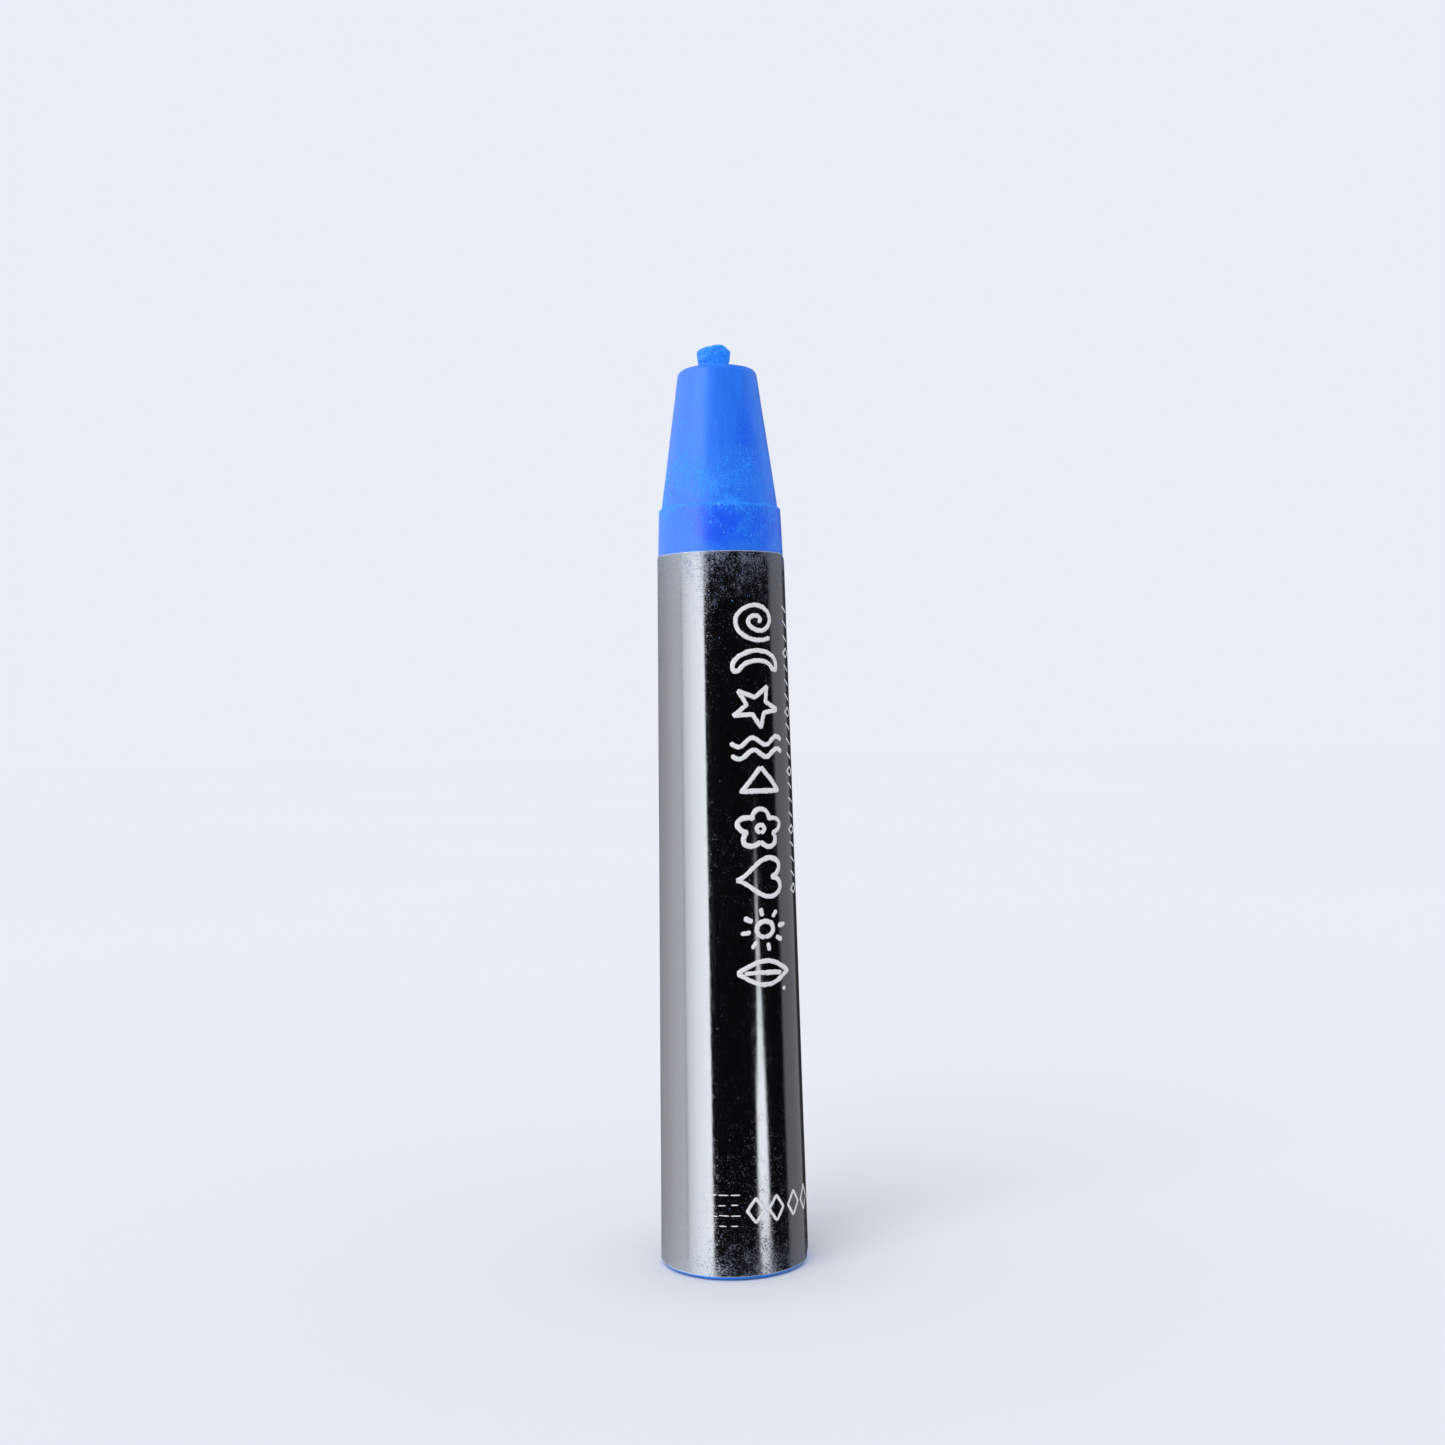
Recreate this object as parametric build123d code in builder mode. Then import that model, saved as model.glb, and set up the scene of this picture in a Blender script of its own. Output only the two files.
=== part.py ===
"""A thick wrapped pastel crayon, standing on its flat rear face with its tip up.

Two pieces: the cast pastel stick, and the film label glued round it. Millimetres, +Z up.
The origin is the centre of the rear face, and the crayon's front, as one reads its label, faces -Y.
"""
from build123d import *
from math import cos, degrees, radians, sin, tan
import os

# The stick: a slightly tapered barrel, a shoulder band, a step, a blunt conical nose and a nub
rear_radius = 7.98
barrel_draft = 0.01453      # radius lost per millimetre of height, so that the casting leaves its mould
band_start = 78.2
band_end = 82.4             # height of the step between band and nose
nose_end = 97.8             # height of the nose's flat front face
overall_length = 100.6      # height of the nub's highest point
band_front_radius = 6.68
nose_base_radius = 6.40
nose_front_radius = 4.28
nub_radius = 1.75
nub_offset = -0.3           # along X, because the casting's gate wasn't quite in the middle
nub_slant = 10.0            # degrees between the nub's broken end and a square cut
rear_edge_round = 0.3
step_round = 0.12
nose_rim_round = 0.8
nub_root_round = 0.3
nub_edge_round = 0.2

# The label: one sheet of film whose two ends meet at a seam, with rounded corners
film_thickness = 0.08
glue_thickness = 0.03       # keeps the film's inner face off the stick
label_rear = 0.35
label_front = 77.3
label_corner_radius = 2.2
seam_gap = 0.25             # between the film's two ends
seam_angle = -5.0           # from +X towards +Y, so the seam is on the crayon's right side


def barrel_radius(height, offset=0.0):
    """Radius of the tapered barrel, or of a surface that lies offset outside it."""
    return rear_radius - barrel_draft * height + offset


def rims(part, radius):
    return part.edges().filter_by(GeomType.CIRCLE).filter_by(lambda rim: abs(rim.radius - radius) < 0.001)


with BuildPart() as stick:
    with BuildSketch(Plane.XZ):
        with BuildLine():
            Polyline(
                (0, 0),
                (rear_radius, 0),
                (barrel_radius(band_start), band_start),
                (band_front_radius, band_end),
                (nose_base_radius, band_end),
                (nose_front_radius, nose_end),
                (0, nose_end),
                close=True,
            )
        make_face()
    revolve(axis=Axis.Z)
    with BuildSketch(Plane.XY.offset(nose_end)):
        with Locations((nub_offset, 0)):
            Circle(nub_radius)
    extrude(amount=overall_length - nose_end)
    fillet(rims(stick, rear_radius), rear_edge_round)
    fillet(rims(stick, band_front_radius), step_round)
    fillet(rims(stick, nose_front_radius), nose_rim_round)
    fillet(rims(stick, nub_radius).sort_by(Axis.Z)[0], nub_root_round)

    # The nub's end is broken off on a slant, highest on the +X side.
    slant = radians(nub_slant)
    broken_end = Plane(
        (nub_offset, 0, overall_length - nub_radius * tan(slant)),
        z_dir=(-sin(slant), 0, cos(slant)),
    )
    split(bisect_by=broken_end, keep=Keep.BOTTOM)
    fillet(stick.edges().filter_by(GeomType.ELLIPSE), nub_edge_round)

with BuildPart() as label:
    # The film is a thin strip turned about the axis, from one side of the seam to the other.
    half_seam = degrees(seam_gap / 2 / rear_radius)
    inner, outer = glue_thickness, glue_thickness + film_thickness
    with BuildSketch(Plane.XZ.rotated((0, 0, seam_angle + half_seam))):
        with BuildLine():
            Polyline(
                (barrel_radius(label_rear, inner), label_rear),
                (barrel_radius(label_rear, outer), label_rear),
                (barrel_radius(label_front, outer), label_front),
                (barrel_radius(label_front, inner), label_front),
                close=True,
            )
        make_face()
    revolve(axis=Axis.Z, revolution_arc=360 - 2 * half_seam)

    # At both ends of the seam, the film's corners are rounded.
    outwards = Vector(cos(radians(seam_angle)), sin(radians(seam_angle)), 0)
    over_seam = Plane((0, 0, 0), x_dir=(0, 0, 1), z_dir=outwards)
    corner_offset = seam_gap / 2 + label_corner_radius
    for label_end, inwards in ((label_rear, 1), (label_front, -1)):
        corner_height = label_end + inwards * label_corner_radius
        with BuildSketch(over_seam):
            with Locations(((label_end + corner_height) / 2, 0)):
                Rectangle(label_corner_radius, 2 * corner_offset)
            with Locations((corner_height, corner_offset), (corner_height, -corner_offset)):
                Circle(label_corner_radius, mode=Mode.SUBTRACT)
        extrude(amount=rear_radius + 1, mode=Mode.SUBTRACT)

stick.part.label = "stick"
label.part.label = "label"

os.makedirs("parts", exist_ok=True)
export_step(stick.part, "parts/stick.step")
export_step(label.part, "parts/label.step")
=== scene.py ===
"""Looks of the wrapped pastel crayon: stick, label film, print and chalk dust, built round the CAD frame."""

import math

import bpy
import numpy as np
from mathutils import Matrix, Vector


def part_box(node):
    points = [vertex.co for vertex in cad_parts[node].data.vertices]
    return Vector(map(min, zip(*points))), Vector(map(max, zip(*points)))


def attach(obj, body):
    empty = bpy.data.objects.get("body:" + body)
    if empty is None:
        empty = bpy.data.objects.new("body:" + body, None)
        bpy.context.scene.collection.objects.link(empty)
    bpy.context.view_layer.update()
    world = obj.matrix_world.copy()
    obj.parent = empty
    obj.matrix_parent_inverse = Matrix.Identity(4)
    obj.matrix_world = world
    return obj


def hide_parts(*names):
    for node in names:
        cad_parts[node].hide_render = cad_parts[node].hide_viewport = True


MM = 0.001
SEED = 7

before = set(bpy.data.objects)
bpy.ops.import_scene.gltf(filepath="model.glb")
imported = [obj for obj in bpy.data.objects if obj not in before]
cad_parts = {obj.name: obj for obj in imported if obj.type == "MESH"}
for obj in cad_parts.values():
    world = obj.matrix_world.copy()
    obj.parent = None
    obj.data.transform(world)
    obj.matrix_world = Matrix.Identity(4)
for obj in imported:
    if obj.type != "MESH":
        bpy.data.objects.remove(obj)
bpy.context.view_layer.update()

# The crayon's shape, as in the CAD. Radii and heights in metres; angles run from the front (-Y) towards +X.
REAR_RADIUS = 7.98 * MM
BARREL_DRAFT = 0.01453
BAND_START = 78.2 * MM
BAND_END = 82.4 * MM
NOSE_END = 97.8 * MM
BAND_FRONT_RADIUS = 6.68 * MM
NOSE_BASE_RADIUS = 6.40 * MM
NOSE_FRONT_RADIUS = 4.28 * MM
NUB_RADIUS = 1.75 * MM
NUB_OFFSET = -0.3 * MM
NUB_ROOT = 0.3 * MM
NUB_EDGE = 0.2 * MM
NUB_SLANT = math.radians(10)
REAR_EDGE_ROUND = 0.3 * MM
STEP_ROUND = 0.12 * MM
NOSE_RIM_ROUND = 0.8 * MM
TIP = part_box("stick")[1].z

# The stick's mesh: points round it, and the spacing of points along its outline
STICK_COLUMNS = 300
FINE = 0.15 * MM
COARSE = 1.2 * MM
NUB_FINE = 0.07 * MM

# The label: thicknesses, extent, seam, and the number of points along and round its mesh
FILM = 0.08 * MM
GLUE = 0.03 * MM
LABEL_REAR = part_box("label")[0].z
LABEL_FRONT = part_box("label")[1].z
LABEL_CORNER = 2.2 * MM
SEAM_GAP = 0.25 * MM
SEAM_ANGLE = math.radians(85)
FILM_BASE_RISE = 0.006 * MM  # room for the film's ripples
CUT_WIDTH = 0.07 * MM  # of the whitened rim along the film's two cut ends
LABEL_ROWS = 130
LABEL_COLUMNS = 300
CORNER_COLUMNS = 22

# The print: widths of the strokes, how far the ink stands above and reaches into the film, and where it runs
BIG_INK = 0.5 * MM
MARK_INK = 0.3 * MM
SMALL_INK = 0.2 * MM
HAIRLINE_INK = 0.12 * MM
INK_PROUD = 0.010 * MM
INK_SUNK = 0.004 * MM
STROKE_SPACING = 0.08 * MM
PRINT_TOP = 72.1 * MM
PRINT_BOTTOM = 31.0 * MM

# The loose chalk dust
DUST_GRAINS = 2600
GRAIN_SIZE = 0.024  # in millimetres, the middle of a wide spread

# The photograph's view: square on to the crayon's side, a little above its middle
CAMERA_HEIGHT = 59.0 * MM
CAMERA_DISTANCE = 190.0 * MM
CAMERA_ASIDE = -0.16 * MM
CAMERA_ROLL = math.radians(-1.17)
CAMERA_LENS = 42.9

# Colours, linear
DRY_BLUE = (0.008, 0.175, 0.85)
DEEP_BLUE = (0.0006, 0.090, 0.84)
POWDER_BLUE = (0.006, 0.240, 0.93)
PALE_POWDER = (0.20, 0.40, 0.76)
FILM_BLACK = (0.0012, 0.0012, 0.0015)
FILM_EDGE = (0.42, 0.50, 0.62)
INK_WHITE = (0.76, 0.76, 0.75)
BACKGROUND = (0.815, 0.847, 0.922)

# The key light comes from the front left. The floor's colour allows for what the key adds there, so that the
# floor comes out as bright as the background.
KEY_AZIMUTH = math.radians(-35)
KEY_ELEVATION = math.radians(50)
KEY_SPREAD = math.radians(35)
KEY_ON_FLOOR = 0.22

# The round floor, and the round wall that only mirror reflections see
FLOOR_RADIUS = 3.0
WALL_RADIUS = 0.5

# What the glossy film mirrors: how bright the studio is at each azimuth, in degrees from front towards +X
SURROUNDINGS = (
    (-180, 0.25), (-152, 0.7), (-125, 1.65), (-100, 2.9), (-82, 3.6), (-77, 3.1), (-72, 5.0), (-55, 6.9),
    (-33, 8.2), (-31, 0.015), (92, 0.015), (98, 0.78), (140, 0.63), (146, 0.06), (176, 0.06), (180, 0.25),
)

# A narrow light low on the right, mirrored as a streak near the label's rear. For each height in metres:
# how bright it is, and half its width in degrees
STREAK_AZIMUTH = 48.5
STREAK = (
    (-0.19, 0.0, 9.0), (-0.14, 5.5, 10.0), (-0.11, 8.0, 12.5), (-0.075, 8.2, 11.0), (-0.05, 7.0, 6.5),
    (0.0, 3.5, 3.4), (0.03, 0.0, 2.5),
)


def barrel_radius(height):
    return REAR_RADIUS - BARREL_DRAFT * height


# ---------------------------------------------------------------- noise and meshes


def lattice(cell, seed):
    """A repeatable random value from 0 to 1 for each whole-numbered lattice point."""
    x, y, z = (cell[..., i].astype(np.int64) for i in range(3))
    h = (x * 73856093) ^ (y * 19349663) ^ (z * 83492791) ^ (seed * 2654435761)
    h = (h ^ (h >> 13)) * 1274126177
    return ((h ^ (h >> 16)) & 0xFFFFFF) / float(0xFFFFFF)


def value_noise(points, size, seed):
    """Smooth noise from -1 to 1 with features about size across."""
    scaled = points / size + 1000.0
    cell = np.floor(scaled)
    t = scaled - cell
    t = t * t * (3 - 2 * t)
    total = np.zeros(points.shape[:-1])
    for dx in (0, 1):
        for dy in (0, 1):
            for dz in (0, 1):
                weight = (
                    (t[..., 0] if dx else 1 - t[..., 0])
                    * (t[..., 1] if dy else 1 - t[..., 1])
                    * (t[..., 2] if dz else 1 - t[..., 2])
                )
                total += weight * lattice(cell + (dx, dy, dz), seed)
    return total * 2 - 1


def fractal(points, size, octaves, seed):
    """Noise from -1 to 1 in octaves, each half the size and half the strength of the one before."""
    total, share = 0.0, 1.0
    for octave in range(octaves):
        total = total + share * value_noise(points, size / 2**octave, seed + octave)
        share *= 0.5
    return total / (2 - 2 * share)


def smoothstep(low, high, x):
    t = np.clip((x - low) / (high - low), 0, 1)
    return t * t * (3 - 2 * t)


def on_axis(radius, angle, height):
    """Points at a radius and height, at an angle from the front towards +X."""
    radius, angle, height = np.broadcast_arrays(radius, angle, height)
    return np.stack([radius * np.sin(angle), -radius * np.cos(angle), height], axis=-1)


def new_mesh(name, points, faces):
    mesh = bpy.data.meshes.new(name)
    mesh.from_pydata(np.asarray(points).reshape(-1, 3).tolist(), [], faces)
    mesh.polygons.foreach_set("use_smooth", [True] * len(mesh.polygons))
    mesh.update()
    piece = bpy.data.objects.new(name, mesh)
    bpy.context.scene.collection.objects.link(piece)
    return piece


def paint(piece, name, values):
    """Stores one number per vertex, for the material to read."""
    layer = piece.data.attributes.new(name, "FLOAT", "POINT")
    layer.data.foreach_set("value", np.asarray(values, np.float32).ravel())


def quads(rows, columns, wrap):
    """Faces of a grid of points, row after row, closed round if wrap."""
    faces = []
    for i in range(rows - 1):
        for j in range(columns if wrap else columns - 1):
            k = (j + 1) % columns
            faces.append((i * columns + j, i * columns + k, (i + 1) * columns + k, (i + 1) * columns + j))
    return faces


def grid_border(rows, columns):
    """Point numbers round the outside of a grid."""
    border = list(range(columns)) + [i * columns + columns - 1 for i in range(1, rows)]
    border += [(rows - 1) * columns + j for j in range(columns - 2, -1, -1)]
    return border + [i * columns for i in range(rows - 2, 0, -1)]


# ---------------------------------------------------------------- materials


class Shader:
    """A node material with one Principled shader, and short ways to add what feeds it."""

    def __init__(self, name, **constants):
        self.material = bpy.data.materials.new(name)
        self.material.use_nodes = True
        self.nodes = self.material.node_tree.nodes
        self.links = self.material.node_tree.links
        self.surface = self.nodes["Principled BSDF"]
        for socket, value in constants.items():
            self.surface.inputs[socket.replace("_", " ")].default_value = value
        self.place = self.nodes.new("ShaderNodeTexCoord").outputs["Object"]

    def node(self, kind, **settings):
        made = self.nodes.new(kind)
        for key, value in settings.items():
            setattr(made, key, value)
        return made

    def feed(self, value, socket):
        """Links an output, or sets a colour (red, green, blue) or a number."""
        if isinstance(value, bpy.types.NodeSocket):
            self.links.new(value, socket)
        elif isinstance(value, tuple):
            socket.default_value = (*value, 1.0)
        else:
            socket.default_value = value

    def stretched(self, along):
        """Object coordinates drawn out along the crayon's axis."""
        mapping = self.node("ShaderNodeMapping")
        mapping.inputs["Scale"].default_value = (1, 1, 1 / along)
        self.links.new(self.place, mapping.inputs["Vector"])
        return mapping.outputs["Vector"]

    def noise(self, size, detail=2.0, roughness=0.5, place=None):
        texture = self.node("ShaderNodeTexNoise")
        texture.inputs["Scale"].default_value = 1 / size
        texture.inputs["Detail"].default_value = detail
        texture.inputs["Roughness"].default_value = roughness
        self.links.new(place or self.place, texture.inputs["Vector"])
        return texture.outputs["Fac"]

    def ramp(self, value, low, high, out_low=0.0, out_high=1.0):
        made = self.node("ShaderNodeMapRange", interpolation_type="SMOOTHSTEP")
        limits = {"From Min": low, "From Max": high, "To Min": out_low, "To Max": out_high}
        for socket, number in limits.items():
            made.inputs[socket].default_value = number
        self.feed(value, made.inputs["Value"])
        return made.outputs["Result"]

    def math(self, operation, a, b):
        made = self.node("ShaderNodeMath", operation=operation)
        self.feed(a, made.inputs[0])
        self.feed(b, made.inputs[1])
        return made.outputs[0]

    def mix(self, share, a, b):
        made = self.node("ShaderNodeMix", data_type="RGBA")
        self.feed(share, made.inputs["Factor"])
        colours = [s for s in made.inputs if s.type == "RGBA"]
        self.feed(a, colours[0])
        self.feed(b, colours[1])
        return next(s for s in made.outputs if s.type == "RGBA")

    def attribute(self, name):
        return self.node("ShaderNodeAttribute", attribute_name=name).outputs["Fac"]

    def bump(self, height, distance, strength):
        made = self.node("ShaderNodeBump")
        made.inputs["Strength"].default_value = strength
        made.inputs["Distance"].default_value = distance
        self.links.new(height, made.inputs["Height"])
        self.links.new(made.outputs["Normal"], self.surface.inputs["Normal"])

    def set(self, socket, value):
        self.feed(value, self.surface.inputs[socket])


def pastel_material():
    """Blue pastel: dry and even as cast, a deeper and smoother blue in patches, azure where it crumbles, and
    azure on the band's step and the nose rim as a painted highlight.
    """
    s = Shader("pastel", Specular_IOR_Level=0.36, Sheen_Weight=0.16, Sheen_Roughness=0.45)
    s.set("Sheen Tint", (0.30, 0.66, 1.0))
    grains = s.noise(0.22 * MM, 4.0, 0.75)
    smudges = s.noise(1.4 * MM, 4.0, 0.6)
    speckled = s.math("ADD", s.math("MULTIPLY", grains, 0.72), s.math("MULTIPLY", smudges, 0.28))
    powder_and_highlight_level = s.math("ADD", speckled, s.math("MULTIPLY", s.attribute("powder_and_highlight"), 0.36))
    # The azure mask covers crumbly pastel, and also a painted highlight on the band's step and the nose rim.
    crumbs_and_highlight = s.ramp(powder_and_highlight_level, 0.585, 0.68)
    fine = s.noise(0.17 * MM, 4.0, 0.75)
    # A deeper, smoother blue in the patches that the stick's mesh gives.
    deepened = s.ramp(s.math("ADD", fine, s.math("MULTIPLY", s.attribute("deep_patches"), 0.40)), 0.60, 0.78)
    streaks = s.noise(0.5 * MM, 3.0, 0.6, s.stretched(14))
    shaded_blue = tuple(c * f for c, f in zip(DRY_BLUE, (0.6, 0.86, 0.94)))
    dry = s.mix(s.ramp(streaks, 0.3, 0.7), DRY_BLUE, shaded_blue)
    flecks = s.mix(s.ramp(s.noise(0.3 * MM, 4.0, 0.75), 0.48, 0.64), POWDER_BLUE, (0.035, 0.40, 0.98))
    s.set("Base Color", s.mix(crumbs_and_highlight, s.mix(deepened, dry, DEEP_BLUE), flecks))
    roughness = s.ramp(crumbs_and_highlight, 0.0, 1.0, 0.37, 0.8)
    s.set("Roughness", s.math("ADD", roughness, s.math("MULTIPLY", deepened, -0.09)))
    pits = s.math("MULTIPLY", s.noise(0.07 * MM, 3.0, 0.7), s.ramp(crumbs_and_highlight, 0, 1, 0.35, 1.2))
    s.bump(s.math("ADD", pits, s.math("MULTIPLY", streaks, 0.4)), 0.02 * MM, 0.7)
    return s.material


def film_material():
    """Glossy black film with a faint orange peel and scuffs, dulled by chalk dust towards its ends."""
    s = Shader("label_film", IOR=1.6, Specular_IOR_Level=1.0)
    scuffs = s.noise(0.35 * MM, 4.0, 0.7, s.stretched(7))
    specks = s.math("ADD", s.math("MULTIPLY", s.noise(0.16 * MM, 4.0, 0.75), 0.72),
                    s.math("MULTIPLY", s.noise(1.1 * MM, 4.0, 0.65), 0.28))
    dusty = s.ramp(s.math("ADD", specks, s.math("MULTIPLY", s.attribute("dust"), 0.16)), 0.58, 0.76)
    black = s.mix(s.ramp(scuffs, 0.55, 0.8), FILM_BLACK, (0.0035, 0.0035, 0.0045))
    dulled = s.mix(s.math("MULTIPLY", dusty, 0.7), black, (0.13, 0.165, 0.24))
    s.set("Base Color", s.mix(s.math("MULTIPLY", s.attribute("cut"), 0.85), dulled, FILM_EDGE))
    s.set("Roughness", s.math("ADD", s.ramp(scuffs, 0.35, 0.8, 0.07, 0.17), s.math("MULTIPLY", dusty, 0.6)))
    peel = s.math("ADD", s.noise(1.5 * MM, 2.0), s.math("MULTIPLY", s.noise(0.25 * MM, 2.0), 0.06))
    s.bump(s.math("ADD", peel, s.math("MULTIPLY", dusty, 0.5)), 0.012 * MM, 0.5)
    return s.material


def film_edge_material():
    """The cut edge of the film, where its clear base shows."""
    s = Shader("label_edge", Roughness=0.35)
    s.set("Base Color", s.mix(s.ramp(s.noise(0.3 * MM, 2.0), 0.3, 0.7), FILM_EDGE, (0.20, 0.26, 0.38)))
    s.bump(s.noise(0.05 * MM), 0.005 * MM, 0.4)
    return s.material


def ink_material():
    """Chalk-white ink, broken up by small gaps as chalk on a board is."""
    s = Shader("label_print")
    gaps = s.noise(0.10 * MM, 4.0, 0.75)
    clouds = s.noise(0.9 * MM, 2.0)
    wear = s.math("ADD", s.math("MULTIPLY", gaps, 0.8), s.math("MULTIPLY", clouds, 0.2))
    s.set("Base Color", s.mix(s.ramp(wear, 0.33, 0.46), (0.30, 0.30, 0.31), INK_WHITE))
    s.set("Roughness", s.ramp(gaps, 0.3, 0.7, 0.65, 0.45))
    s.bump(gaps, 0.01 * MM, 0.5)
    return s.material


def dust_material():
    """Grains of loose chalk, from azure to nearly white."""
    s = Shader("chalk_dust", Roughness=0.95, Specular_IOR_Level=0.2)
    s.set("Base Color", s.mix(s.ramp(s.noise(0.4 * MM, 1.0), 0.35, 0.65), POWDER_BLUE, PALE_POWDER))
    s.bump(s.noise(0.02 * MM, 2.0), 0.004 * MM, 0.6)
    return s.material


# ---------------------------------------------------------------- the stick


def arc(centre, radius, start, end, steps):
    """Points (radius, height) on a round edge, from start to end in degrees, from outwards to up."""
    return [
        (centre[0] + radius * math.cos(a), centre[1] + radius * math.sin(a))
        for a in np.radians(np.linspace(start, end, steps))
    ]


def run(start, end, spacing):
    """Points from start to end, spaced evenly at about spacing, without the last."""
    steps = max(1, round(math.dist(start, end) / spacing))
    return [tuple(np.add(start, np.subtract(end, start) * (i / steps))) for i in range(steps)]


def stick_outline():
    """The stick's outline from the middle of its rear face to the middle of its broken tip."""
    nose_slope = math.degrees(math.atan2(NOSE_BASE_RADIUS - NOSE_FRONT_RADIUS, NOSE_END - BAND_END))
    # The cone leans inwards, so the round's centre lies less than its radius inside the sharp corner.
    rim_centre = (NOSE_FRONT_RADIUS - NOSE_RIM_ROUND * 0.87, NOSE_END - NOSE_RIM_ROUND)
    rim = arc(rim_centre, NOSE_RIM_ROUND, nose_slope, 90, 14)
    shoulder = (barrel_radius(BAND_START), BAND_START)
    step_centre = (BAND_FRONT_RADIUS - STEP_ROUND, BAND_END - STEP_ROUND)
    root_fillet = [
        (NUB_RADIUS + NUB_ROOT * (1 - math.sin(a)), NOSE_END + NUB_ROOT * (1 - math.cos(a)))
        for a in np.radians(np.linspace(0, 90, 6))
    ]
    nub_top = TIP - NUB_RADIUS * math.tan(NUB_SLANT)
    barrel_start = (barrel_radius(0.6 * MM), 0.6 * MM)
    covered_end = (barrel_radius(LABEL_FRONT - 1 * MM), LABEL_FRONT - 1 * MM)
    nose_start = (NOSE_BASE_RADIUS, BAND_END + 0.04 * MM)
    points = run((0.3 * MM, 0), (REAR_RADIUS - REAR_EDGE_ROUND, 0), 0.25 * MM)
    points += arc((REAR_RADIUS - REAR_EDGE_ROUND, REAR_EDGE_ROUND), REAR_EDGE_ROUND, -90, 0, 7)
    points += run(barrel_start, covered_end, COARSE)
    points += run(covered_end, shoulder, FINE)
    points += run(shoulder, (BAND_FRONT_RADIUS, BAND_END - STEP_ROUND), FINE)
    points += arc(step_centre, STEP_ROUND, 3, 90, 6)
    points += run((NOSE_BASE_RADIUS + 0.03 * MM, BAND_END), nose_start, 0.02 * MM)
    points += run(nose_start, rim[0], FINE)
    points += rim
    points += run((rim[-1][0] - FINE, NOSE_END), root_fillet[0], FINE)
    points += root_fillet
    points += run((NUB_RADIUS, NOSE_END + NUB_ROOT + FINE / 2), (NUB_RADIUS, nub_top - NUB_EDGE), NUB_FINE)
    points += arc((NUB_RADIUS - NUB_EDGE, nub_top - NUB_EDGE), NUB_EDGE, 0, 90, 5)
    points += run((NUB_RADIUS - NUB_EDGE - NUB_FINE, nub_top), (0.06 * MM, nub_top), NUB_FINE)
    return np.array(points)


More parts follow.
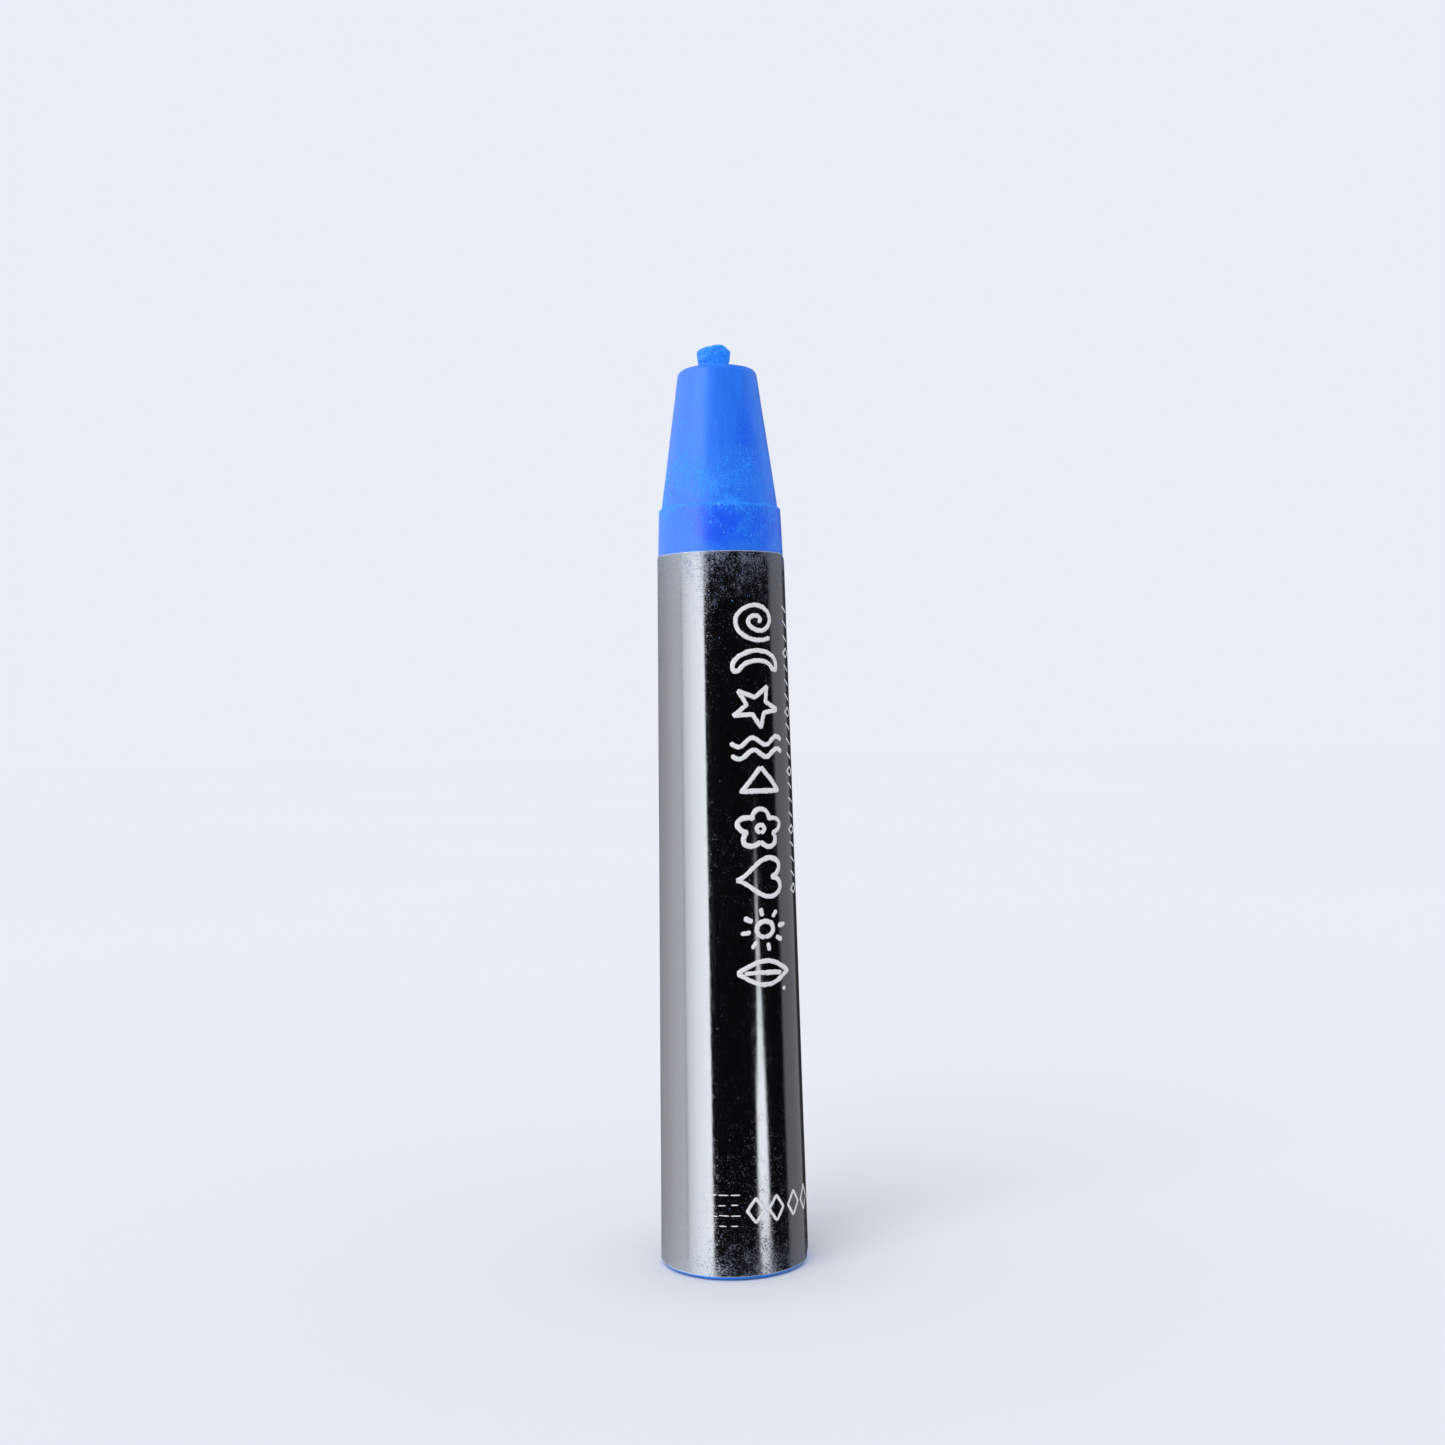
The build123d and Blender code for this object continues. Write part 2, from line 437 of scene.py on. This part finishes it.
def build_stick():
    columns = STICK_COLUMNS
    outline = stick_outline()
    tangent = np.gradient(outline, axis=0)
    tangent /= np.linalg.norm(tangent, axis=1)[:, None]
    angle = np.linspace(0, 2 * math.pi, columns, endpoint=False)[None, :]
    radius, height = outline[:, 0][:, None], outline[:, 1][:, None]
    base = on_axis(radius, angle, height)
    normal = on_axis(tangent[:, 1][:, None], angle, -tangent[:, 0][:, None])

    # How much of each effect a point takes: the nub is crumbly, the rear face rough, the casting smooth.
    on_nub = smoothstep(NOSE_END + 0.1 * MM, NOSE_END + 0.7 * MM, height) * (radius < NUB_RADIUS + 0.4 * MM)
    near_nub = (1 - smoothstep(NUB_RADIUS, NUB_RADIUS + 1.3 * MM, radius)) * (height > NOSE_END - 0.05 * MM)
    bare_front = smoothstep(LABEL_FRONT, LABEL_FRONT + 0.4 * MM, height)
    on_rear = (1 - smoothstep(0.0, 0.35 * MM, height)) * np.ones_like(angle)

    ripples = fractal(base, 6 * MM, 2, SEED) * 0.03 * MM + fractal(base, 1.1 * MM, 3, SEED + 1) * 0.008 * MM
    dents = np.minimum(0, value_noise(base, 1.7 * MM, SEED + 2) + 0.62) * 0.12 * MM
    crumbs = (
        fractal(base, 1.5 * MM, 3, SEED + 3) * 0.14 * MM
        + fractal(base, 0.5 * MM, 3, SEED + 4) * 0.15 * MM
        + value_noise(base, 0.15 * MM, SEED + 5) * 0.035 * MM
    )
    rear_relief = fractal(base, 1.2 * MM, 4, SEED + 6) * 0.05 * MM - 0.03 * MM
    belly = 0.13 * MM * smoothstep(NOSE_END + 0.3 * MM, NOSE_END + 1.3 * MM, height) - 0.10 * MM
    push = (ripples + dents) * bare_front * (1 - on_nub) + (crumbs + belly) * on_nub + rear_relief * on_rear
    push += near_nub * (1 - on_nub) * np.maximum(0, fractal(base, 0.35 * MM, 2, SEED + 7)) * 0.12 * MM
    points = base + normal * push[..., None]

    # The nub's end slopes up towards +X, its highest corner is worn off, and the nub stands off the axis.
    nub_share = smoothstep(NOSE_END + 0.5 * MM, TIP, height) * (height > NOSE_END + NUB_ROOT)
    points[..., 2] += nub_share * points[..., 0] * math.tan(NUB_SLANT)
    points[..., 2] -= nub_share * smoothstep(0.45, 1.0, points[..., 0] / NUB_RADIUS) * 0.55 * MM
    points[..., 2] = np.clip(points[..., 2], 0, TIP + 0.05 * MM)
    shifted = 1 - smoothstep(NUB_RADIUS + NUB_ROOT, NOSE_FRONT_RADIUS - NOSE_RIM_ROUND, radius)
    points[..., 0] += NUB_OFFSET * shifted * (height > NOSE_END - 1e-6)

    rows = len(outline)
    faces = quads(rows, columns, wrap=True)
    first, last = rows * columns, rows * columns + 1
    poles = [points[0].mean(axis=0), points[-1].mean(axis=0)]
    faces += [(first, (j + 1) % columns, j) for j in range(columns)]
    top = (rows - 1) * columns
    faces += [(last, top + j, top + (j + 1) % columns) for j in range(columns)]
    piece = new_mesh("pastel_stick", np.vstack([points.reshape(-1, 3), poles]), faces)

    def belt(middle, spread):
        """1 at a height, fading away above and below."""
        return np.exp(-(((height - middle) / spread) ** 2))

    def spot(middle, around, tall, wide):
        """1 at a height and an angle, fading away on all sides."""
        aside = np.degrees((angle - math.radians(around) + math.pi) % (2 * math.pi) - math.pi)
        return np.exp(-(((height - middle) / tall) ** 2) - (aside / wide) ** 2)

    # Where the pastel crumbles to powder: on the nub, round its foot and at the shoulder. The band's step
    # and the nose rim get the same azure as a painted highlight.
    shoulder = belt(84.5 * MM, 4.0 * MM)
    # Painted highlight: the band's step and the nose rim take the crumbly azure colour.
    edge_highlight = belt(BAND_END, 0.25 * MM) + belt(NOSE_END, 0.5 * MM) * 0.6
    patchy = 0.5 + 0.5 * fractal(base, 3.5 * MM, 3, SEED + 8)
    powder_and_highlight = 0.62 * shoulder * patchy + 0.25 * edge_highlight + 0.75 * near_nub + on_nub + on_rear + 0.10 * patchy
    paint(piece, "powder_and_highlight", np.append(np.clip(powder_and_highlight, 0, 1).ravel(), [0.6, 1.0]))

    # Patches of a deeper, smoother blue on the band and the lower nose.
    blotches = smoothstep(-0.15, 0.55, fractal(base, 5 * MM, 3, SEED + 9))
    deep_patches = belt(82 * MM, 6.0 * MM) * blotches
    deep_patches = deep_patches + 0.9 * spot(80.3 * MM, -8, 2.0 * MM, 24) + 0.5 * spot(90 * MM, 32, 4.5 * MM, 20)
    deep_patches = deep_patches + 0.35 * spot(81 * MM, 45, 2.0 * MM, 30)
    paint(piece, "deep_patches", np.append(np.clip(deep_patches * (1 - on_rear), 0, 1).ravel(), [0.0, 0.0]))
    piece.data.materials.append(pastel_material())
    return piece


# ---------------------------------------------------------------- the label


def film_rise(angle, height):
    """How far the film's outer face stands off the barrel: glue, film, slight ripples, and lifting edges."""
    from_seam = np.abs(angle - SEAM_ANGLE)
    from_seam = np.minimum(from_seam, 2 * math.pi - from_seam) * barrel_radius(height)
    from_end = np.minimum(height - LABEL_REAR, LABEL_FRONT - height)
    at = on_axis(barrel_radius(height), angle, height)
    ripples = (value_noise(at, 9 * MM, SEED + 20) * 0.010 + value_noise(at, 3 * MM, SEED + 21) * 0.003) * MM
    lifted = 0.035 * MM * np.exp(-from_seam / (0.7 * MM)) * (0.6 + 0.4 * value_noise(at, 5 * MM, SEED + 22))
    curled = 0.015 * MM * np.exp(-from_end / (0.6 * MM)) * (0.5 + 0.5 * value_noise(at, 4 * MM, SEED + 23))
    return GLUE + FILM + FILM_BASE_RISE + ripples + lifted + curled


def film_columns():
    """Distances round the film from one side of the seam to the other, and the whole way.

    They lie close together at the film's rounded corners.
    """
    width = 2 * math.pi * REAR_RADIUS - SEAM_GAP
    corner = LABEL_CORNER * (1 - np.cos(np.linspace(0, math.pi / 2, CORNER_COLUMNS)))
    middle = np.linspace(LABEL_CORNER, width - LABEL_CORNER, LABEL_COLUMNS)[1:-1]
    return np.concatenate([corner, middle, (width - corner)[::-1]]), width


def build_label():
    along, width = film_columns()
    from_edge = np.minimum(along, width - along)
    past_corner = np.clip(LABEL_CORNER - from_edge, 0, LABEL_CORNER)
    inset = LABEL_CORNER - np.sqrt(np.maximum(0, LABEL_CORNER**2 - past_corner**2))
    near_end = np.array([0, 0.5, 1.0, 1.6]) * CUT_WIDTH / (LABEL_FRONT - LABEL_REAR)
    share = np.concatenate([near_end, np.linspace(0, 1, LABEL_ROWS)[1:-1], (1 - near_end)[::-1]])[:, None]
    rows = len(share)
    height = (LABEL_REAR + inset) * (1 - share) + (LABEL_FRONT - inset) * share
    half_gap = SEAM_GAP / 2 / REAR_RADIUS
    angle = SEAM_ANGLE + half_gap + along / width * (2 * math.pi - 2 * half_gap)
    angle = np.broadcast_to(angle, height.shape)
    rise = film_rise(angle, height)
    outer = on_axis(barrel_radius(height) + rise, angle, height)
    inner = on_axis(barrel_radius(height) + rise - FILM, angle, height)

    columns = len(along)
    count = rows * columns
    faces = quads(rows, columns, wrap=False)
    faces += [tuple(count + i for i in reversed(face)) for face in faces]
    surface_faces = len(faces)
    border = grid_border(rows, columns)
    faces += [(b, a, count + a, count + b) for a, b in zip(border, border[1:] + border[:1])]
    piece = new_mesh("label_film", np.vstack([outer.reshape(-1, 3), inner.reshape(-1, 3)]), faces)
    near_front = np.exp(-((LABEL_FRONT - height) / (6 * MM)))
    near_rear = 0.95 * np.exp(-((height - LABEL_REAR) / (4.5 * MM)))
    dust = near_front + near_rear + 0.22 * value_noise(outer, 11 * MM, SEED + 24)
    paint(piece, "dust", np.tile(np.clip(dust, 0, 1).ravel(), 2))
    from_border = np.minimum(height - height[0], height[-1] - height)
    cut = 1 - smoothstep(0.5 * CUT_WIDTH, 1.5 * CUT_WIDTH, from_border)
    paint(piece, "cut", np.tile(cut.ravel(), 2))
    piece.data.materials.append(film_material())
    piece.data.materials.append(film_edge_material())
    is_edge = [0] * surface_faces + [1] * (len(faces) - surface_faces)
    piece.data.polygons.foreach_set("material_index", is_edge)
    piece.data.polygons.foreach_set("use_smooth", [i == 0 for i in is_edge])
    return piece


# ---------------------------------------------------------------- the print: generic chalk doodles
#
# Each doodle is a list of strokes in a unit square, and each stroke a list of points.


def ring_path(steps, reach=0.5):
    turns = np.linspace(0, 2 * math.pi, steps)
    return [(0.5 + reach * math.cos(a), 0.5 + reach * math.sin(a)) for a in turns]


def spiral(turns=2.1):
    stroke = []
    for t in np.linspace(0.05, 1, 60):
        a = turns * 2 * math.pi * t
        stroke.append((0.5 + t * 0.5 * math.cos(a), 0.5 + t * 0.5 * math.sin(a)))
    return [stroke]


def closed_shape(corners, turn, inner=None):
    """A polygon turned by some degrees, or a star if inner gives the radius of its inner corners."""
    count = corners * (2 if inner else 1)
    points = []
    for i in range(count + 1):
        reach = inner if inner and i % 2 else 0.5
        a = math.radians(turn + 360 * i / count)
        points.append((0.5 + reach * math.cos(a), 0.5 + reach * math.sin(a)))
    return [points]


def crescent():
    outer = [(0.62 - 0.62 * math.cos(a), 0.5 + 0.5 * math.sin(a)) for a in np.linspace(-1.9, 1.9, 26)]
    inner = [(0.95 - 0.55 * math.cos(a), 0.5 + 0.40 * math.sin(a)) for a in np.linspace(1.25, -1.25, 18)]
    return [outer + inner + outer[:2]]


def waves(swings=2.0):
    """Two wavy lines side by side."""
    return [
        [(middle + 0.2 * math.sin(swings * 2 * math.pi * y), y) for y in np.linspace(0, 1, 40)]
        for middle in (0.2, 0.8)
    ]


def sun(rays=8):
    """A ring with short rays round it."""
    beams = [
        [(0.5 + reach * math.cos(a), 0.5 + reach * math.sin(a)) for reach in (0.31, 0.5)]
        for a in np.linspace(0.2, 2 * math.pi + 0.2, rays, endpoint=False)
    ]
    return [ring_path(20, 0.18), *beams]


def flower(petals=5):
    """A ring of outward bumps round a small ring."""
    rim = []
    for a in np.linspace(0, 2 * math.pi, 80):
        reach = 0.31 + 0.19 * abs(math.sin(petals * a / 2))
        rim.append((0.5 + reach * math.cos(a), 0.5 + reach * math.sin(a)))
    return [rim, ring_path(14, 0.09)]


def leaf():
    """A pointed leaf with its midrib."""
    side = [(0.5 + 0.5 * math.sin(math.pi * t), t) for t in np.linspace(0, 1, 16)]
    other = [(1 - x, y) for x, y in reversed(side)]
    return [side + other[1:], [(0.5, 0.12), (0.5, 0.82)]]


def heart():
    """A heart that stands upright when the crayon is held with its tip to the left."""
    points = []
    for a in np.linspace(0, 2 * math.pi, 60):
        up = (13 * math.cos(a) - 5 * math.cos(2 * a) - 2 * math.cos(3 * a) - math.cos(4 * a)) / 30
        points.append((0.5 + 0.5 * math.sin(a) ** 3, 0.55 + up))
    return [points]


def resampled(path, spacing):
    """The path with points at even distances along it."""
    path = np.array(path, float)
    lengths = np.concatenate([[0], np.cumsum(np.linalg.norm(np.diff(path, axis=0), axis=1))])
    count = max(3, int(lengths[-1] / spacing) + 1)
    at = np.linspace(0, lengths[-1], count)
    return np.stack([np.interp(at, lengths, path[:, i]) for i in range(2)], axis=1)


class Print:
    """Ribbons of ink that lie on the film. A stroke is given up the crayon and round it, in metres."""

    def __init__(self):
        self.points, self.faces, self.flat, self.strokes = [], [], [], 0

    def stroke(self, path, width):
        self.strokes += 1
        line = resampled(path, STROKE_SPACING)
        wobble_at = np.stack([line[:, 0], line[:, 1], np.full(len(line), self.strokes * 0.01)], axis=1)
        wobble = [value_noise(wobble_at, 1.6 * MM, SEED + 30 + i) * 0.07 * MM for i in range(2)]
        line = line + np.stack(wobble, axis=1)
        along = np.gradient(line, axis=0)
        along /= np.linalg.norm(along, axis=1)[:, None] + 1e-12
        across = np.stack([-along[:, 1], along[:, 0]], axis=1)
        from_end = np.minimum(np.arange(len(line)), np.arange(len(line))[::-1])
        taper = np.minimum(1, 0.5 + from_end * 0.25)
        pressure = 1 + 0.14 * value_noise(wobble_at, 2.2 * MM, SEED + 38)
        sides = []
        for i, sign in enumerate((-1, -0.4, 0.4, 1)):
            ragged = 1 + 0.17 * value_noise(wobble_at, 0.2 * MM, SEED + 40 + i) * abs(sign)
            sides.append(line + across * (sign * width / 2 * taper * pressure * ragged)[:, None])
        flat = np.stack(sides, axis=1)
        angle, height = flat[..., 1] / barrel_radius(flat[..., 0]), flat[..., 0]
        floor = barrel_radius(height) + film_rise(angle, height)
        start = sum(len(p) for p in self.points)
        rows, columns = angle.shape
        self.points.append(on_axis(floor + INK_PROUD, angle, height).reshape(-1, 3))
        self.points.append(on_axis(floor - INK_SUNK, angle, height).reshape(-1, 3))
        count = rows * columns
        faces = quads(rows, columns, wrap=False)
        faces += [tuple(count + i for i in reversed(face)) for face in faces]
        self.flat += [False] * len(faces)
        border = grid_border(rows, columns)
        faces += [(b, a, count + a, count + b) for a, b in zip(border, border[1:] + border[:1])]
        self.flat += [True] * len(border)
        self.faces += [tuple(start + i for i in face) for face in faces]

    def doodle(self, strokes, height, angle, length, width, ink, tilt=0.0):
        """Places strokes from a unit square: its first axis runs down the crayon, its second towards +X."""
        c, s = math.cos(tilt), math.sin(tilt)
        for path in strokes:
            placed = []
            for x, y in path:
                u, v = (x - 0.5) * length, (y - 0.5) * width
                placed.append((height - (u * c - v * s), angle * barrel_radius(height) + u * s + v * c))
            self.stroke(placed, ink)

    def piece(self, name):
        made = new_mesh(name, np.vstack(self.points), self.faces)
        made.data.polygons.foreach_set("use_smooth", [not flat for flat in self.flat])
        made.data.materials.append(ink_material())
        return made


def build_print():
    ink = Print()
    # The big line: a row of doodles along the crayon, from the tip towards the rear. Each has its length
    # down the crayon and its width round it, in millimetres.
    big = [
        (spiral(), 4.5, 5.8), (crescent(), 2.6, 5.5), (closed_shape(5, 84, 0.21), 4.6, 5.8),
        (waves(), 2.2, 6.4), (closed_shape(3, 180), 3.4, 5.4), (flower(), 4.3, 5.5),
        (heart(), 4.2, 5.5), (sun(), 4.7, 5.7), (leaf(), 2.5, 6.4),
    ]
    gap = (PRINT_TOP - PRINT_BOTTOM - sum(length for _, length, _ in big) * MM) / (len(big) - 1)
    at = PRINT_TOP
    for i, (strokes, length, width) in enumerate(big):
        tilt = 0.06 * math.sin(2.3 * i)
        around = math.radians(30.5 + 1.2 * math.cos(1.7 * i))
        ink.doodle(strokes, at - length * MM / 2, around, length * MM, width * MM, BIG_INK, tilt)
        at -= length * MM + gap
    ink.doodle([ring_path(10)], PRINT_BOTTOM - 0.7 * MM, math.radians(50), 0.25 * MM, 0.25 * MM, MARK_INK)

    # The small line beside it: slanted ticks, with a diamond after every three.
    for i in range(20):
        height = (71.2 - 1.6 * i) * MM
        shape = closed_shape(4, 0) if i % 4 == 3 else [[(0.15, 0.1), (0.85, 0.9)]]
        ink.doodle(shape, height, math.radians(73), 1.0 * MM, 1.7 * MM, SMALL_INK)

    # The rear mark: a row of small diamonds, all the same.
    for i in range(4):
        ink.doodle(closed_shape(4, 0), 7.2 * MM, math.radians(17 + 18 * i), 2.6 * MM, 1.8 * MM, MARK_INK)

    # Plain hairlines where such a label has its small print.
    for row in range(4):
        height = (9.0 - 1.1 * row) * MM
        for start, end in ((-21, -13), (-11.5, -4), (-2.5, 5)):
            ends = (start, end - 2 * (row % 2))
            ink.stroke([(height, math.radians(a) * barrel_radius(height)) for a in ends], HAIRLINE_INK)
    return ink.piece("label_print")


# ---------------------------------------------------------------- chalk dust


def surface_radius(height):
    """Radius of what shows at a height between rear and nose rim: film, band or nose."""
    corners = (
        (LABEL_FRONT, barrel_radius(LABEL_FRONT)), (BAND_START, barrel_radius(BAND_START)),
        (BAND_END, BAND_FRONT_RADIUS), (BAND_END + 1e-6, NOSE_BASE_RADIUS), (NOSE_END, NOSE_FRONT_RADIUS),
    )
    pastel = np.interp(height, *zip(*corners))
    return np.where(height < LABEL_FRONT, barrel_radius(height) + GLUE + FILM, pastel)


def build_dust():
    """Small lumps of chalk, each an uneven octahedron, thickest about the label's ends."""
    random = np.random.default_rng(SEED)
    # Middle height, spread and share of the grains
    zones = (
        (80 * MM, 3.2 * MM, 0.26), (73 * MM, 4.5 * MM, 0.36), (88 * MM, 4 * MM, 0.10),
        (3.5 * MM, 3.5 * MM, 0.28),
    )
    heights = np.concatenate(
        [random.normal(middle, spread, round(DUST_GRAINS * share)) for middle, spread, share in zones]
    )
    heights = heights[(heights > LABEL_REAR + 0.3 * MM) & (heights < NOSE_END - NOSE_RIM_ROUND)]
    heights = heights[np.abs(heights - BAND_END) > 0.15 * MM]
    angles = random.uniform(0, 2 * math.pi, len(heights))
    sizes = np.clip(random.lognormal(math.log(GRAIN_SIZE), 0.5, len(heights)), 0.010, 0.10) * MM
    ball = np.array([(1, 0, 0), (-1, 0, 0), (0, 1, 0), (0, -1, 0), (0, 0, 1), (0, 0, -1)], float)
    ball_faces = [(0, 2, 4), (2, 1, 4), (1, 3, 4), (3, 0, 4), (2, 0, 5), (1, 2, 5), (3, 1, 5), (0, 3, 5)]
    points, faces = [], []
    for i, (height, angle, size) in enumerate(zip(heights, angles, sizes)):
        lumps = ball * random.uniform(0.6, 1.5, (6, 1)) * (1, 1, 0.6) * size
        spin = random.uniform(0, math.pi)
        outward = on_axis(1.0, angle, 0.0)
        sideways = np.array([-outward[1], outward[0], 0])
        u = sideways * math.cos(spin) + np.array([0, 0, 1]) * math.sin(spin)  # u and v lie in the surface
        v = np.cross(outward, u)
        centre = on_axis(surface_radius(height) + size * 0.25, angle, height)
        points.append(centre + lumps[:, :1] * u + lumps[:, 1:2] * v + lumps[:, 2:] * outward)
        faces += [tuple(6 * i + k for k in face) for face in ball_faces]
    piece = new_mesh("chalk_dust", np.vstack(points), faces)
    piece.data.materials.append(dust_material())
    return piece


# ---------------------------------------------------------------- camera, lights and stage


def look_at(thing, target):
    thing.rotation_mode = "QUATERNION"
    thing.rotation_quaternion = (Vector(target) - thing.location).to_track_quat("-Z", "Y")


def add_camera():
    camera = bpy.data.objects.new("camera", bpy.data.cameras.new("camera"))
    bpy.context.scene.collection.objects.link(camera)
    camera.data.lens = CAMERA_LENS
    camera.data.clip_start, camera.data.clip_end = 0.01, 20
    place = Matrix.Translation((CAMERA_ASIDE, -CAMERA_DISTANCE, CAMERA_HEIGHT))
    level = Matrix.Rotation(math.pi / 2, 4, "X")
    camera.matrix_world = place @ level @ Matrix.Rotation(CAMERA_ROLL, 4, "Z")
    bpy.context.scene.camera = camera


def add_key():
    """A big soft light from the front left, which no surface mirrors."""
    light = bpy.data.lights.new("key", "SUN")
    light.energy = KEY_ON_FLOOR * math.pi / math.sin(KEY_ELEVATION)
    light.angle = KEY_SPREAD
    key = bpy.data.objects.new("key", light)
    bpy.context.scene.collection.objects.link(key)
    out = math.cos(KEY_ELEVATION)
    key.location = (out * math.sin(KEY_AZIMUTH), -out * math.cos(KEY_AZIMUTH), math.sin(KEY_ELEVATION))
    look_at(key, (0, 0, 0))
    key.visible_glossy = False


def add_surroundings():
    """A round wall of light that only mirror reflections see."""
    azimuths = np.arange(-180, 180)
    levels = np.array([-0.8, *np.arange(-0.20, 0.05, 0.01), 0.9])[:, None]  # close together at the streak
    points = on_axis(WALL_RADIUS, np.radians(azimuths)[None, :], levels)
    wall = new_mesh("surroundings", points, quads(len(levels), len(azimuths), wrap=True))
    heights, strengths, widths = zip(*STREAK)
    strength, width = np.interp(levels, heights, strengths), np.interp(levels, heights, widths)
    streak = strength * (1 - smoothstep(0.5 * width, width, np.abs(azimuths - STREAK_AZIMUTH)))
    paint(wall, "glow", np.interp(azimuths, *zip(*SURROUNDINGS)) + streak)
    material = bpy.data.materials.new("surroundings")
    material.use_nodes = True
    nodes, links = material.node_tree.nodes, material.node_tree.links
    nodes.remove(nodes["Principled BSDF"])
    glow = nodes.new("ShaderNodeEmission")
    level = nodes.new("ShaderNodeAttribute")
    level.attribute_name = "glow"
    links.new(level.outputs["Fac"], glow.inputs["Strength"])
    glow.inputs["Color"].default_value = (0.87, 0.92, 1.0, 1)
    links.new(glow.outputs["Emission"], nodes["Material Output"].inputs["Surface"])
    wall.data.materials.append(material)
    for kind in ("camera", "diffuse", "transmission", "volume_scatter", "shadow"):
        setattr(wall, "visible_" + kind, False)


def add_floor():
    bpy.ops.mesh.primitive_circle_add(vertices=128, radius=FLOOR_RADIUS, fill_type="NGON")
    floor = bpy.context.object
    floor.name = "floor"
    floor.location.z = -0.1 * MM
    s = Shader("floor", Roughness=0.9, Specular_IOR_Level=0.0)
    colour = tuple(c / (c + KEY_ON_FLOOR) for c in BACKGROUND)
    s.set("Base Color", s.mix(s.ramp(s.noise(0.2, 2.0), 0.3, 0.7), colour, tuple(c * 0.995 for c in colour)))
    floor.data.materials.append(s.material)
    floor.visible_glossy = False


def add_stage():
    world = bpy.data.worlds.new("studio")
    bpy.context.scene.world = world
    world.use_nodes = True
    world.node_tree.nodes["Background"].inputs["Color"].default_value = (*BACKGROUND, 1)
    world.node_tree.nodes["Background"].inputs["Strength"].default_value = 1.0
    world.cycles_visibility.glossy = False
    add_floor()
    add_key()
    add_surroundings()


add_camera()
add_stage()

stick = build_stick()
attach(stick, "root")
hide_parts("stick")

label = build_label()
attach(label, "root")
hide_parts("label")

label_print = build_print()
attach(label_print, "root")

dust = build_dust()
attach(dust, "root")

scene = bpy.context.scene
scene.view_settings.view_transform = "Standard"
scene.view_settings.look = "None"
